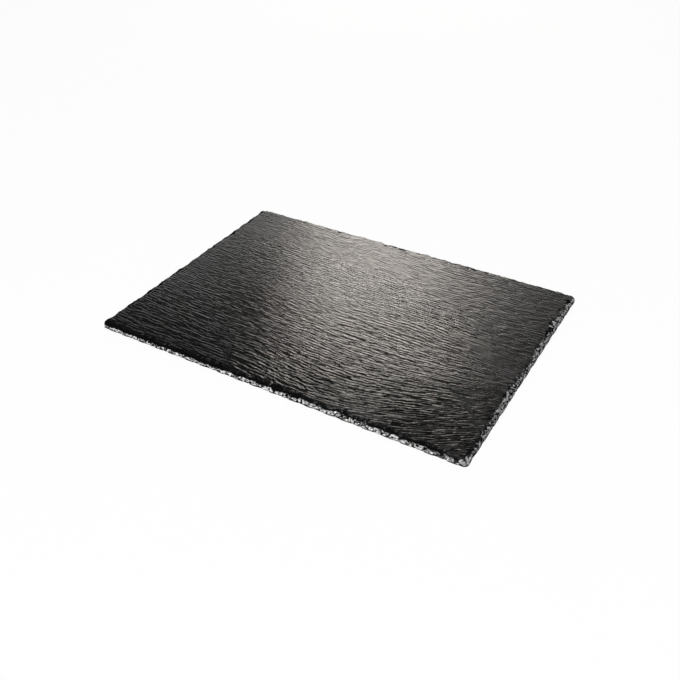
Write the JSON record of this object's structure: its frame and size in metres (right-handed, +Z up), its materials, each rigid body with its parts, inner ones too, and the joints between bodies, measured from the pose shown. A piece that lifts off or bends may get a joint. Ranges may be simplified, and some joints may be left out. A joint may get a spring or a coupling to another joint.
{
  "type": "serving board",
  "caption": "Rectangular serving board of split natural slate with a riven top and a hammer-dressed, flaked edge, standing on stick-on bumper feet.",
  "frame": {"origin": "on the table under the middle of the board", "axes": "+X along the long side, to the right; +Y along the short side, to the rear; +Z up, out of the serving face"},
  "size_m": [0.35, 0.25, 0.0094],
  "materials": {
    "slate": "riven natural slate, oiled to a satin sheen",
    "foot_rubber": "matt moulded bumper",
    "adhesive_film": "thin milky transfer adhesive"
  },
  "bodies": {
    "root": {"slate_slab": "slate", "foot_front_left": "foot_rubber", "foot_front_right": "foot_rubber", "foot_rear_left": "foot_rubber", "foot_rear_right": "foot_rubber", "adhesive_film_front_left": "adhesive_film", "adhesive_film_front_right": "adhesive_film", "adhesive_film_rear_left": "adhesive_film", "adhesive_film_rear_right": "adhesive_film"}
  },
  "joints": []
}
